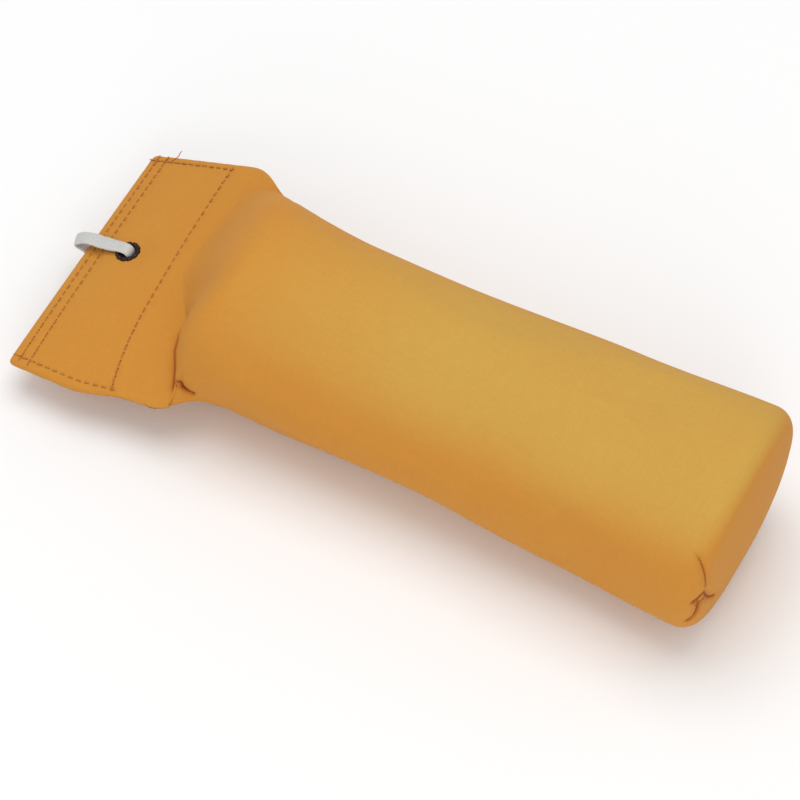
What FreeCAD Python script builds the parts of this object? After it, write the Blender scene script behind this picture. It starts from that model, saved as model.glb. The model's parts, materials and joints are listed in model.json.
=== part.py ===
import FreeCAD, Part
import math
import os
from FreeCAD import Vector

# A stuffed canvas retrieving dummy: a round bag, flattened at one end into a stitched
# header that carries an eyelet and a tape loop. Millimetres, +Z up. X runs from the
# header (-X) to the base (+X). The origin is on the resting surface, under the middle
# of the whole length.

# Bag
bag_length = 261.9            # hem edge of the header to the base panel
bag_half_width = 37.4         # half the width of the bag behind its shoulder
base_half_width = 39.6        # half the width of the bag at the base rim
height_ratio = 0.93           # height over width, because the bag lies on its side
shoulder_length = 26.0        # from the throat to the full section
rest_flat = 1.2               # how far the underside is pressed flat
rim_radius = 8.0              # rounding between tube and base panel
canvas = 0.8                  # one thickness of canvas
throat_power = 2.6            # superellipse power of the flat throat
bag_power = 2.1               # superellipse power of the stuffed bag

# Header
header_width = 104.0
header_depth = 46.0           # hem edge to the end of the flat plies
turn_margin = 3.0             # canvas turned in at the hem runs past the last row by this
fold_gap = 0.1                # air inside each turned hem
flex_length = 4.0             # bare cloth between the plies and the bag, which bends
hem_height = 18.5             # middle of the hem above the resting surface
header_droop = 13.0           # degrees
ear_taper = 3.5               # how much narrower each side is at the throat
throat_ease = 0.6             # extra half height of the throat over the plies

# Thread
stitch_pitch = 3.05
stitch_length = 2.3
stitch_width = 0.55
stitch_rise = 0.35
hem_row_inset = 3.8           # hem edge to the first row
hem_row_spacing = 3.8         # first row to second row
cross_row_margin = 8.5        # row that closes the box to the end of the plies
side_row_inset = 3.2          # side edge to each side row

# Eyelet
eyelet_inset = 17.4           # hem edge to the eyelet's centre
eyelet_offset = 5.6           # the eyelet and its loop sit off the middle, towards +Y
eyelet_bore = 2.75            # radius
eyelet_wall = 0.4
flange_width = 1.35           # flange beyond the barrel
flange_height = 0.9
washer_thickness = 0.5
washer_clearance = 0.1        # barrel to washer and barrel to cloth
roll_width = 0.7              # barrel end rolled out over the washer
roll_height = 0.4
crown_share = 0.55            # part of the flange's height that is domed
dome_share = 0.35             # part of the flange's width that is domed on each side

# Tape loop
tape_thickness = 1.2
bore_clearance = 0.28         # tape's corners to the eyelet's bore
loop_clearance = 0.4          # tape to the eyelet's two faces
loop_play = 1.65              # hem edge to the centre of the outer bend
loop_turn_radius = 1.6        # middle line of the tape where it leaves the bore
overlap_length = 8.0          # sewn join, under the header
bartack_bars = 4

# Base, seams, liner and filling
pleat_top_angle = 30.0        # degrees above the middle where each folded corner starts
pleat_foot_angle = -70.0      # degrees where its fold meets the lower rim
allowance_side_margin = 3.0   # lengthwise seam to the sides of the pressed flat
allowance_end_margin = 8.0
liner_clearance = 0.4         # between the seam's stitches and the liner
liner_setback = 9.0           # throat to the blunt front of the liner
liner_blunt = 0.62            # size of that front, as a share of the full section
liner_wall = 0.3
filling_clearance = 0.2
closure_tape_thickness = 0.2
closure_tape_height = 12.0
closure_tape_margin = 6.0     # tape ends to the sides of the liner's end

# Lofting
points_per_section = 24
shoulder_steps = 6
rim_steps = 3

# Worked out from the sizes above
droop = math.radians(header_droop)
ply_height = 2.0 * canvas + fold_gap
cross_row_inset = header_depth - cross_row_margin
turn_depth = cross_row_inset + turn_margin
flange_outer = eyelet_bore + eyelet_wall + flange_width
barrel_outer = eyelet_bore + eyelet_wall
tape_width = 2.0 * math.sqrt((eyelet_bore - bore_clearance) ** 2 - (tape_thickness / 2.0) ** 2)
loop_straight = eyelet_inset + loop_play
strand_height = ply_height + max(flange_height, washer_thickness + roll_height)
strand_height += loop_clearance + tape_thickness / 2.0
bend_outer = strand_height + tape_thickness / 2.0
loop_beyond_hem = bend_outer + loop_play * math.cos(droop)
model_length = bag_length + canvas
hem_x = (loop_beyond_hem - model_length) / 2.0
base_x = hem_x + bag_length
hinge_depth = header_depth + flex_length / 2.0
hinge_x = hem_x + hinge_depth * math.cos(droop)
hinge_z = hem_height + hinge_depth * math.sin(droop)
throat_x = hinge_x + flex_length / 2.0
throat_half_width = header_width / 2.0 - ear_taper
throat_half_height = ply_height + throat_ease
shoulder_end_x = throat_x + shoulder_length
rim_start_x = base_x - rim_radius
allowance_height = 2.0 * canvas
liner_inset = canvas + allowance_height + stitch_rise + liner_clearance


def header_place():
    """Placement that carries header coordinates (from the hem, across, up) to the part."""
    turn = FreeCAD.Rotation(Vector(0, 1, 0), -header_droop)
    return FreeCAD.Placement(Vector(hem_x, 0, hem_height), turn)


def on_header(shape):
    placed = shape.copy()
    placed.Placement = header_place().multiply(placed.Placement)
    return placed


def save(name, shape):
    shape.exportStep(os.path.join("parts", name + ".step"))
    print(name, len(shape.Solids), round(shape.Volume, 2), shape.isValid())


# ---- sections of the bag

def section(x, half_width, half_height, centre_z, power):
    """Closed superellipse in a plane of constant x."""
    points = []
    for step in range(points_per_section):
        angle = 2.0 * math.pi * step / points_per_section
        c = math.cos(angle)
        s = math.sin(angle)
        y = half_width * math.copysign(abs(c) ** (2.0 / power), c)
        z = half_height * math.copysign(abs(s) ** (2.0 / power), s)
        points.append(Vector(x, y, centre_z + z))
    curve = Part.BSplineCurve()
    curve.interpolate(Points=points, PeriodicFlag=True)
    return Part.Wire(curve.toShape())


def bag_width_at(x):
    share = (x - shoulder_end_x) / (rim_start_x - shoulder_end_x)
    return bag_half_width + (base_half_width - bag_half_width) * share


def bag_centre(half_width):
    return half_width * height_ratio - rest_flat


def shoulder_half_width(x, inset):
    """Half width of the tapering shoulder, with the inset measured square to its side."""
    taper = throat_half_width - bag_half_width
    remaining = 1.0 - min(1.0, (x - throat_x) / shoulder_length)
    slope = 2.0 * taper * remaining / shoulder_length
    return bag_half_width + taper * remaining ** 2 - inset * math.hypot(1.0, slope)


def shoulder_section(angle, inset):
    """Section of the shoulder, from the flat throat (0 degrees) to the full bag (90)."""
    full_height = bag_half_width * height_ratio
    rise = full_height - throat_half_height
    slope = math.hypot(shoulder_length * math.sin(angle), rise * math.cos(angle))
    x = throat_x + shoulder_length * (1.0 - math.cos(angle))
    x += inset * rise * math.cos(angle) / slope
    half_height = throat_half_height + rise * math.sin(angle)
    half_height -= inset * shoulder_length * math.sin(angle) / slope
    half_width = shoulder_half_width(x, inset)
    centre_z = hinge_z + (bag_centre(bag_half_width) - hinge_z) * math.sin(angle)
    power = throat_power + (bag_power - throat_power) * math.sin(angle)
    return section(x, half_width, half_height, centre_z, power)


def liner_section(angle, inset):
    """Section of the liner's blunt front, which leaves the ears of the cover empty."""
    length = shoulder_length - liner_setback
    full_height = bag_half_width * height_ratio
    rise = full_height * (1.0 - liner_blunt)
    slope = math.hypot(length * math.sin(angle), rise * math.cos(angle))
    x = throat_x + liner_setback + length * (1.0 - math.cos(angle))
    x += (inset - liner_inset) * rise * math.cos(angle) / slope
    share = liner_blunt + (1.0 - liner_blunt) * math.sin(angle)
    centre_z = bag_centre(bag_half_width)
    return section(x, bag_half_width * share - inset, full_height * share - inset, centre_z, bag_power)


def rim_section(angle, inset):
    """Section of the rounding at the base, from the tube (0 degrees) to the panel (90)."""
    reach = rim_radius - inset
    x = rim_start_x + reach * math.sin(angle)
    shrink = rim_radius - reach * math.cos(angle)
    half_height = base_half_width * height_ratio - shrink
    centre_z = bag_centre(base_half_width)
    return section(x, base_half_width - shrink, half_height, centre_z, bag_power)


def block(start_x, level):
    """Large block that begins at the given X and height."""
    size = 4.0 * (bag_length + header_width)
    return Part.makeBox(size, size, size, Vector(start_x, -size / 2.0, level))


def bag_solid(inset, front_section):
    """Solid of the whole bag, set in all round by the given amount."""
    quarter = math.pi / 2.0
    shoulder = []
    for step in range(shoulder_steps + 1):
        shoulder.append(front_section(quarter * step / shoulder_steps, inset))
    rim = []
    for step in range(rim_steps + 1):
        rim.append(rim_section(quarter * step / rim_steps, inset))
    solid = Part.makeLoft(shoulder, True, False)
    solid = solid.fuse(Part.makeLoft([shoulder[-1], rim[0]], True, True))
    solid = solid.fuse(Part.makeLoft(rim, True, False))
    return solid.common(block(-2.0 * bag_length, inset))


def base_outline(start_x, thickness):
    """Prism of the base panel's outline."""
    half_width = base_half_width - rim_radius
    half_height = base_half_width * height_ratio - rim_radius
    outline = section(start_x, half_width, half_height, bag_centre(base_half_width), bag_power)
    return Part.Face(outline).extrude(Vector(thickness, 0, 0))


def throat_opening():
    """Cutter for the mouth of the tube, a canvas longer than the wall at each end."""
    half_width = throat_half_width - canvas
    half_height = throat_half_height - canvas
    outline = section(throat_x - canvas, half_width, half_height, hinge_z, throat_power)
    return Part.Face(outline).extrude(Vector(3.0 * canvas, 0, 0))


# ---- bag pieces

def cover():
    """Canvas round the bag, as the shoulder and the tube behind it."""
    shell = bag_solid(0.0, shoulder_section).cut(bag_solid(canvas, shoulder_section))
    shell = shell.cut(base_outline(base_x - 2.0 * canvas, 3.0 * canvas))
    shell = shell.cut(throat_opening())
    behind = block(shoulder_end_x, -bag_length)
    return shell.cut(behind), shell.common(behind)


def base_panel():
    return base_outline(base_x - canvas, canvas)


def base_pleat(side):
    """Folded corner of canvas lying flat on the base panel, outside a straight fold."""
    half_width = base_half_width - rim_radius
    half_height = base_half_width * height_ratio - rim_radius
    fold = []
    for degrees in (pleat_top_angle, pleat_foot_angle):
        angle = math.radians(degrees)
        y = side * half_width * math.cos(angle)
        z = bag_centre(base_half_width) + half_height * math.sin(angle)
        fold.append(Vector(base_x, y, z))
    outside = [Vector(base_x, side * base_half_width, point.z) for point in reversed(fold)]
    flap = Part.Face(Part.makePolygon(fold + outside + fold[:1]))
    flap = flap.extrude(Vector(canvas, 0, 0))
    return flap.common(base_outline(base_x, canvas))


def seam_span():
    start = shoulder_end_x + allowance_end_margin
    return start, rim_start_x - allowance_end_margin


def flat_half_width():
    """Half the width of the flat pressed into the inside of the bag, where it is narrowest."""
    half_width = bag_half_width - canvas
    half_height = bag_half_width * height_ratio - canvas
    level = 1.0 - rest_flat / half_height
    return half_width * (1.0 - level ** bag_power) ** (1.0 / bag_power)


def seam_allowance():
    """Turned-in edges of the lengthwise seam, along the inside of the pressed flat."""
    start, end = seam_span()
    half_width = flat_half_width() - allowance_side_margin
    corner = Vector(start, -half_width, canvas)
    return Part.makeBox(end - start, 2.0 * half_width, allowance_height, corner)


def stitch():
    """One stitch along X, flat side down on the origin."""
    half = stitch_length / 2.0
    left = Vector(-half, -stitch_width / 2.0, 0)
    right = Vector(half, -stitch_width / 2.0, 0)
    crown = Vector(0, -stitch_width / 2.0, stitch_rise)
    edges = [Part.LineSegment(left, right).toShape(), Part.Arc(right, crown, left).toShape()]
    return Part.Face(Part.Wire(edges)).extrude(Vector(0, stitch_width, 0))


def stitch_row(start, end, face_up=True):
    """Stitches at the pitch between two points, centred on the run."""
    run = end.sub(start)
    count = max(1, int(run.Length / stitch_pitch))
    first = (run.Length - (count - 1) * stitch_pitch) / 2.0
    heading = math.degrees(math.atan2(run.y, run.x))
    direction = run.multiply(1.0 / run.Length)
    row = []
    for index in range(count):
        piece = stitch()
        if not face_up:
            piece.rotate(Vector(0, 0, 0), Vector(1, 0, 0), 180)
        piece.rotate(Vector(0, 0, 0), Vector(0, 0, 1), heading)
        distance = first + index * stitch_pitch
        piece.translate(start.add(Vector(direction).multiply(distance)))
        row.append(piece)
    return row


def seam_stitches():
    start, end = seam_span()
    top = canvas + allowance_height
    return Part.Compound(stitch_row(Vector(start, 0, top), Vector(end, 0, top)))


def base_seam_stitches():
    """Thread that holds the base panel, in rows on its inner face."""
    inner_x = base_x - canvas
    centre_z = bag_centre(base_half_width)
    reach = base_half_width - rim_radius - 2.0 * stitch_pitch
    rows = []
    for turn in (0.0, 90.0):
        row = stitch_row(Vector(-reach, 0, 0), Vector(reach, 0, 0))
        for piece in row:
            if abs(piece.CenterOfMass.x) > reach * height_ratio:
                continue
            if turn and abs(piece.CenterOfMass.x) < stitch_pitch:
                continue
            piece.rotate(Vector(0, 0, 0), Vector(0, 0, 1), turn)
            piece.rotate(Vector(0, 0, 0), Vector(0, 1, 0), -90)
            piece.translate(Vector(inner_x, 0, centre_z))
            rows.append(piece)
    return Part.Compound(rows)


def inner_liner():
    outside = bag_solid(liner_inset, liner_section)
    return outside.cut(bag_solid(liner_inset + liner_wall, liner_section))


def filling():
    return bag_solid(liner_inset + liner_wall + filling_clearance, liner_section)


# ---- header pieces, in header coordinates

def header_hole():
    radius = barrel_outer + washer_clearance
    height = 4.0 * ply_height
    return Part.makeCylinder(radius, height, Vector(eyelet_inset, eyelet_offset, -height / 2.0))


def header_ply(side):
    """Canvas turned back on itself at the hem; side is 1 for the upper, -1 for the lower."""
    outer = ply_height / 2.0
    inner = outer - canvas

    def at(depth, height):
        return Vector(depth, -header_width / 2.0, side * height)

    edges = [
        Part.LineSegment(at(turn_depth, 0), at(outer, 0)).toShape(),
        Part.Arc(at(outer, 0), at(0, outer), at(outer, ply_height)).toShape(),
        Part.LineSegment(at(outer, ply_height), at(header_depth, ply_height)).toShape(),
        Part.LineSegment(at(header_depth, ply_height), at(header_depth, outer + inner)).toShape(),
        Part.LineSegment(at(header_depth, outer + inner), at(outer, outer + inner)).toShape(),
        Part.Arc(at(outer, outer + inner), at(canvas, outer), at(outer, canvas)).toShape(),
        Part.LineSegment(at(outer, canvas), at(turn_depth, canvas)).toShape(),
        Part.LineSegment(at(turn_depth, canvas), at(turn_depth, 0)).toShape(),
    ]
    sheet = Part.Face(Part.Wire(edges)).extrude(Vector(0, header_width, 0))
    return sheet.cut(header_hole())


def both_faces(start_depth, start_across, end_depth, end_across):
    pieces = []
    for side in (1, -1):
        level = side * ply_height
        start = Vector(start_depth, start_across, level)
        end = Vector(end_depth, end_across, level)
        pieces += stitch_row(start, end, side > 0)
    return Part.Compound(pieces)


def row_across(depth):
    reach = header_width / 2.0 - side_row_inset
    return both_faces(depth, -reach, depth, reach)


def row_along(side):
    across = side * (header_width / 2.0 - side_row_inset)
    start = hem_row_inset + hem_row_spacing + stitch_pitch / 2.0
    return both_faces(start, across, cross_row_inset - stitch_pitch / 2.0, across)


def revolve_at_eyelet(profile):
    """Turn a closed list of (radius, height) points about the eyelet's axis."""
    points = [Vector(radius, 0, height) for radius, height in profile]
    face = Part.Face(Part.makePolygon(points + points[:1]))
    ring = face.revolve(Vector(0, 0, 0), Vector(0, 0, 1), 360)
    ring.translate(Vector(eyelet_inset, eyelet_offset, 0))
    return ring


def eyelet():
    top = ply_height
    crown = top + flange_height
    shoulder = crown - flange_height * crown_share
    foot = -ply_height - washer_thickness
    rolled = foot - roll_height
    return revolve_at_eyelet([
        (eyelet_bore, rolled + roll_height * dome_share),
        (eyelet_bore + roll_width * dome_share, rolled),
        (barrel_outer + roll_width * (1.0 - dome_share), rolled),
        (barrel_outer + roll_width, foot),
        (barrel_outer, foot),
        (barrel_outer, top),
        (flange_outer, top),
        (flange_outer, shoulder),
        (flange_outer - flange_width * dome_share, crown),
        (eyelet_bore + eyelet_wall, crown),
        (eyelet_bore, shoulder),
    ])


def eyelet_washer():
    hole = barrel_outer + washer_clearance
    top = -ply_height
    bottom = top - washer_thickness
    return revolve_at_eyelet([
        (hole, top),
        (flange_outer, top),
        (flange_outer - washer_thickness * crown_share, bottom),
        (hole, bottom),
    ])


# ---- loop pieces, in header coordinates

def loop_outline(offset):
    """Side view of the loop, its middle line moved outwards by the offset."""
    eye = eyelet_inset + offset
    level = strand_height + offset
    turn = loop_turn_radius + offset
    bend_x = eyelet_inset - loop_straight
    diagonal = turn * math.sqrt(0.5)

    def at(depth, height):
        return Vector(depth, eyelet_offset - tape_width / 2.0, height)

    upper = [at(eye, level - turn), at(eye - turn, level)]
    lower = [at(eye - turn, -level), at(eye, turn - level)]
    upper_mid = at(eye - turn + diagonal, level - turn + diagonal)
    lower_mid = at(eye - turn + diagonal, turn - level - diagonal)
    edges = [
        Part.LineSegment(lower[1], upper[0]).toShape(),
        Part.Arc(upper[0], upper_mid, upper[1]).toShape(),
        Part.LineSegment(upper[1], at(bend_x, level)).toShape(),
        Part.Arc(at(bend_x, level), at(bend_x - level, 0), at(bend_x, -level)).toShape(),
        Part.LineSegment(at(bend_x, -level), lower[0]).toShape(),
        Part.Arc(lower[0], lower_mid, lower[1]).toShape(),
    ]
    return Part.Face(Part.Wire(edges))


def loop_tape():
    half = tape_thickness / 2.0
    band = loop_outline(half).cut(loop_outline(-half))
    return band.extrude(Vector(0, tape_width, 0))


def overlap_place():
    """Start of the sewn overlap, under the lower strand."""
    start = eyelet_inset - loop_straight / 2.0 - overlap_length / 2.0
    return start, -strand_height - tape_thickness / 2.0


def loop_overlap():
    """Free end of the tape, laid over the strand and tapered at both ends."""
    start, top = overlap_place()
    y = eyelet_offset - tape_width / 2.0
    taper = tape_thickness
    points = [
        Vector(start, y, top),
        Vector(start + taper, y, top - tape_thickness),
        Vector(start + overlap_length - taper, y, top - tape_thickness),
        Vector(start + overlap_length, y, top),
    ]
    face = Part.Face(Part.makePolygon(points + points[:1]))
    return face.extrude(Vector(0, tape_width, 0))


def loop_bartack():
    """Bars of thread across the overlap."""
    start, top = overlap_place()
    flat = overlap_length - 2.0 * tape_thickness - 2.0 * stitch_width
    bars = []
    for index in range(bartack_bars):
        share = index / (bartack_bars - 1.0)
        depth = start + tape_thickness + stitch_width + flat * share
        level = top - tape_thickness
        near = eyelet_offset - tape_width / 2.0
        far = eyelet_offset + tape_width / 2.0
        bars += stitch_row(Vector(depth, near, level), Vector(depth, far, level), False)
    return Part.Compound(bars)


def liner_closure_tape():
    """Adhesive strip across the liner's closed front."""
    front = throat_x + liner_setback
    half_width = bag_half_width * liner_blunt - liner_inset - closure_tape_margin
    low = bag_centre(bag_half_width) - closure_tape_height / 2.0
    corner = Vector(front - closure_tape_thickness, -half_width, low)
    return Part.makeBox(closure_tape_thickness, 2.0 * half_width, closure_tape_height, corner)


def main():
    os.makedirs("parts", exist_ok=True)
    shoulder, tube = cover()
    bag_pieces = {
        "cover_shoulder": shoulder,
        "cover_tube": tube,
        "base_panel": base_panel(),
        "base_pleat_near": base_pleat(-1),
        "base_pleat_far": base_pleat(1),
        "base_seam_stitches": base_seam_stitches(),
        "seam_allowance": seam_allowance(),
        "seam_stitches": seam_stitches(),
        "inner_liner": inner_liner(),
        "liner_closure_tape": liner_closure_tape(),
        "filling": filling(),
    }
    header_pieces = {
        "header_upper_ply": header_ply(1),
        "header_lower_ply": header_ply(-1),
        "hem_stitches_outer": row_across(hem_row_inset),
        "hem_stitches_inner": row_across(hem_row_inset + hem_row_spacing),
        "cross_stitches": row_across(cross_row_inset),
        "side_stitches_near": row_along(-1),
        "side_stitches_far": row_along(1),
        "eyelet": eyelet(),
        "eyelet_washer": eyelet_washer(),
        "loop_tape": loop_tape(),
        "loop_overlap": loop_overlap(),
        "loop_bartack": loop_bartack(),
    }
    for name, shape in bag_pieces.items():
        save(name, shape)
    for name, shape in header_pieces.items():
        save(name, on_header(shape))
    print("hinge", round(hinge_x, 3), 0.0, round(hinge_z, 3))
    print("hem", round(hem_x, 3), hem_height, "base", round(base_x + canvas, 3))
    eye = header_place().multVec(Vector(eyelet_inset, eyelet_offset, 0))
    print("eyelet", round(eye.x, 3), round(eye.y, 3), round(eye.z, 3))


main()
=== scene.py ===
import bmesh
import bpy
import json
import math
import numpy as np
from mathutils import Matrix, Vector


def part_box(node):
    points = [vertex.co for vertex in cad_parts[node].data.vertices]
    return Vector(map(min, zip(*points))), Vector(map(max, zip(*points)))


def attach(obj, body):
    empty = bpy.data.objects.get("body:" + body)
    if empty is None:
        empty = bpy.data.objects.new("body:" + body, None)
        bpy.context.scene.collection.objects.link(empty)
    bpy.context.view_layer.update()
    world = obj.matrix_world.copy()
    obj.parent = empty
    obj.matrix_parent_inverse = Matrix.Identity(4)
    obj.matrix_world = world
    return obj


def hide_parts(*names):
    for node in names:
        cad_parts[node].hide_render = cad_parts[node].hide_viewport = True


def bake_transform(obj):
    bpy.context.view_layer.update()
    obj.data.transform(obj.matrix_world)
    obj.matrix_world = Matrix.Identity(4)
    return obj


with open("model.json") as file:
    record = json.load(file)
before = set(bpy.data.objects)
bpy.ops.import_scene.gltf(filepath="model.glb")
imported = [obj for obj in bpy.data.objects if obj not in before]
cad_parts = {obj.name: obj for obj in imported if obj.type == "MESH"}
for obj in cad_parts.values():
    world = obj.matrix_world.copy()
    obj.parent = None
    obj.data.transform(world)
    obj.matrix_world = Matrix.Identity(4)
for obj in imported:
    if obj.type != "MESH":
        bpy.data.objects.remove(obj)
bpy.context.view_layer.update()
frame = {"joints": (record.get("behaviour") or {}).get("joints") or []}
mm = 0.001
bpy.context.scene.view_settings.view_transform = "Standard"

# Places read from the frame, in millimetres. s runs from the hem along the bag, y across, z up.
upperLow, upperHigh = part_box("header_upper_ply")
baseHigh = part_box("base_panel")[1]
hemX = upperLow.x / mm
bagLength = baseHigh.x / mm - hemX
headerWidth = (upperHigh.y - upperLow.y) / mm
swivel = next(j for j in frame["joints"] if j["name"] == "loop_swivel")
eyeS = swivel["pos_m"][0] / mm - hemX
eyeY = swivel["pos_m"][1] / mm
eyeZ = swivel["pos_m"][2] / mm
axis = swivel["axis"]
eyeTilt = math.atan2(-axis[0], axis[2])


def smooth(t):
    t = np.clip(t, 0.0, 1.0)
    return t * t * (3.0 - 2.0 * t)


def mix(a, b, t):
    return a + (b - a) * t


def steps(value, places, sizes):
    # smooth steps between the given places
    value = np.asarray(value, float)
    out = np.full(value.shape, float(sizes[0]))
    for i in range(len(places) - 1):
        t = smooth((value - places[i]) / (places[i + 1] - places[i]))
        out = out + (sizes[i + 1] - sizes[i]) * t
    return out


def lumps(a, b, seed, waves=12):
    # low, even noise made of a few sine waves, about -1 to 1
    rng = np.random.default_rng(seed)
    total = np.zeros(np.broadcast(a, b).shape)
    for i in range(waves):
        u, v = rng.normal(size=2)
        total = total + np.sin(u * a + v * b + rng.uniform(0, 2 * math.pi))
    return total / math.sqrt(waves)


# The bag's cover
bag = {
    "widthPlaces": [60.0, 104.0, 154.0, 204.0, 262.0],
    "halfWidths": [38.6, 36.9, 36.7, 37.9, 39.7],
    "sidewaysPlaces": [60.0, 104.0, 154.0, 204.0, 262.0],
    "sideways": [1.4, 1.0, 1.5, 1.0, -1.0],
    "height": 0.926,         # height over width
    "restFlat": 1.2,         # pressed flat underneath
    "rim": 8.0,              # rounding into the base
    "dome": 2.5,             # how far the base stands proud
    "lean": 1.9,             # the base's top edge leans out by this
    "topPower": 2.02,
    "underPower": 2.19,
    "basePower": 2.3,
    "acrossTop": 184,        # columns over the top, and again under the bag
    "barrelRows": 108,
    "shoulderRows": 34,
    "rimRows": 12,
    "baseRings": 46,
    "lumpHeight": 0.22,
}
header = {
    "halfThick": 1.7,
    "hemZ": 16.0,
    "lift": [0.28, 0.185, -0.045],   # slope away from the hem: middle, lean to the far side, bow
    "crown": 1.9,
    "skew": 1.85,             # the hem is sewn a little out of square
    "middle": 1.1,
    "rowStep": 0.8,
    "nearFin": 15.0,         # cloth that stays flat as an ear
    "farFin": 11.0,
    "finThick": 0.9,
    "cornerRound": 1.8,
}
shoulder = {
    "nearStart": 61.0, "midStart": 41.0, "farStart": 43.0,
    "nearLength": 13.0, "midLength": 38.0, "farLength": 31.0,
    "arcBack": 3.0,          # how far the near crease runs back at the side
    "underStart": 54.0,
    "overhang": 1.8,
    "puff": 0.2,
    "nearAngle": 202.0, "farAngle": 8.0,   # where the ears meet the bag, in degrees
    "finDone": 84.0,
}
half = headerWidth / 2


def headerZ(s, y):
    # middle of the cloth: low on the near side, lifted by the bag further across
    u = np.clip(y / half, -1.1, 1.1)
    a, b, c = header["lift"]
    z = header["hemZ"] + 1.5 * u + (a + b * u + c * u * u) * np.minimum(s, 70.0)
    z = z + header["crown"] * np.clip(1 - u * u, 0, 1) * smooth(s / 22.0)
    away = np.hypot(s - eyeS, y - eyeY)
    flat = eyeZ + (s - eyeS) * math.tan(eyeTilt)
    return mix(flat, z, smooth((away - 4.5) / 7.0))


def nearEdge(s):
    return steps(s, [26.0, 50.0, 57.0, 79.0], [half - header["middle"], 46.6, 46.2, 37.5])


def farEdge(s):
    return steps(s, [42.0, 68.0], [half + header["middle"], 39.0])


def bagPoint(s, angle):
    # point on the stuffed bag; angle 0 is the far side, 90 degrees the top
    b = steps(s, bag["widthPlaces"], bag["halfWidths"])
    h = b * bag["height"]
    squareness = smooth((s - 150.0) / 110.0)
    c, q = np.cos(angle), np.sin(angle)
    p = np.where(q < 0, bag["underPower"], bag["topPower"])
    p = mix(p, bag["basePower"], squareness)
    y = steps(s, bag["sidewaysPlaces"], bag["sideways"]) + b * np.sign(c) * np.abs(c) ** (2.0 / p)
    z = h - bag["restFlat"] + h * np.sign(q) * np.abs(q) ** (2.0 / p)
    return y, z


faceLength = math.pi * header["halfThick"] + headerWidth - 2 * header["halfThick"]
distance = np.linspace(0.0, faceLength, bag["acrossTop"] + 1)


def flatAcross(d):
    # y and lift off the middle of a flattened tube with folded sides
    t = header["halfThick"]
    edge = math.pi * t / 2
    near = np.clip(d / t, 0, math.pi / 2)
    far = np.clip((faceLength - d) / t, 0, math.pi / 2)
    y = np.where(d < edge, -half + t * (1 - np.cos(near)), -half + t + d - edge)
    y = np.where(faceLength - d < edge, half - t * (1 - np.cos(far)), y)
    lift = np.where(d < edge, np.sin(near), 1.0)
    lift = np.where(faceLength - d < edge, np.sin(far), lift)
    return y, lift


def hemStart(y):
    # the hem's line, with its corners rounded
    r = header["cornerRound"]
    toCorner = np.clip(r - (half - np.abs(y)), 0.0, r)
    return -header["skew"] * y / half + r - np.sqrt(r * r - toCorner ** 2)


def faceRows(top):
    # grid of points for the top or the underside, header to base rim; columns near to far
    flatY, lift = flatAcross(distance)
    f = distance / faceLength
    nearWall = distance > header["nearFin"]
    farWall = faceLength - distance > header["farFin"]
    back = shoulder["arcBack"] * smooth((0.30 - f) / 0.18) ** 1.5
    if top:
        starts = [shoulder["nearStart"], shoulder["midStart"], shoulder["farStart"]]
        begin = steps(f, [0.235, 0.56, 0.85], starts) + back
        lengths = [shoulder["nearLength"], shoulder["midLength"], shoulder["farLength"]]
        length = steps(f, [0.25, 0.56, 0.85], lengths)
        crisp = steps(f, [0.24, 0.46], [1.0, 0.0])
        angle = np.radians(mix(shoulder["nearAngle"], shoulder["farAngle"], f))
        side = 1.0
    else:
        begin = np.full(f.shape, shoulder["underStart"]) + back
        length = np.full(f.shape, 22.0)
        crisp = steps(f, [0.1, 0.4, 0.6, 0.9], [0.5, 0.2, 0.2, 0.4])
        angle = np.radians(mix(shoulder["nearAngle"] - 360.0, shoulder["farAngle"], f))
        side = -1.0
    rows = []
    hem = [(0.0, 0.0), (0.12, 0.34), (0.45, 0.72), (1.0, 0.95), (1.7, 1.0)]
    headerRows = int(42.0 / header["rowStep"])
    start = hemStart(flatY)

    def place(s, rise, settle, thick):
        # rise lifts a point from the header to the bag, settle moves it sideways
        w = np.where(flatY < 0, nearEdge(s), farEdge(s))
        keep = np.where(flatY < 0, half - header["nearFin"], half - header["farFin"])
        out = np.maximum(np.abs(flatY) - keep, 0.0) / (half - keep)
        wall = np.minimum(keep, w)
        y0 = np.where(np.abs(flatY) > keep, np.sign(flatY) * mix(wall, w, out), flatY * wall / keep)
        z0 = headerZ(s, y0) + side * lift * thick
        y1, z1 = bagPoint(s, angle)
        return np.stack([s, mix(y0, y1, settle), mix(z0, z1, rise)], -1)

    zero = np.zeros(f.shape)
    for depth, share in hem:
        rows.append(place(start + depth, zero, zero, header["halfThick"] * share))
    for i in range(1, headerRows + 1):
        t = i / headerRows
        s = mix(start + 1.7, begin, t)
        thick = mix(header["halfThick"], header["finThick"], smooth((s - 38.0) / 10.0))
        rows.append(place(s, zero, zero, thick))
    n = bag["shoulderRows"]
    for i in range(1, n + 1):
        phi = math.pi / 2 * i / n
        tau = i / n
        run = mix(tau, 1 - math.cos(phi), crisp)
        s = begin + length * run - shoulder["overhang"] * crisp * math.sin(2 * phi) * (1 if top else 0)
        soft = mix(float(smooth(tau)), math.sin(phi), shoulder["puff"])
        rise = mix(soft, math.sin(phi), crisp)
        settle = mix(soft, math.sin(min(phi * 1.3, math.pi / 2)), crisp)
        flat = smooth((s - 58.0) / (shoulder["finDone"] - 58.0))
        rise = np.where(nearWall & farWall, rise, flat)
        settle = np.where(nearWall & farWall, settle, flat)
        rows.append(place(s, rise, settle, header["finThick"]))
    last = rows[-1][:, 0]
    rimStart = bagLength - bag["rim"]
    for i in range(1, bag["barrelRows"] + 1):
        t = i / bag["barrelRows"]
        s = mix(last, rimStart, t)
        flat = smooth((s - 58.0) / (shoulder["finDone"] - 58.0))
        rise = np.where(nearWall & farWall, 1.0, flat)
        rows.append(place(s, rise, rise, header["finThick"]))
    return np.array(rows), angle


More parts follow.
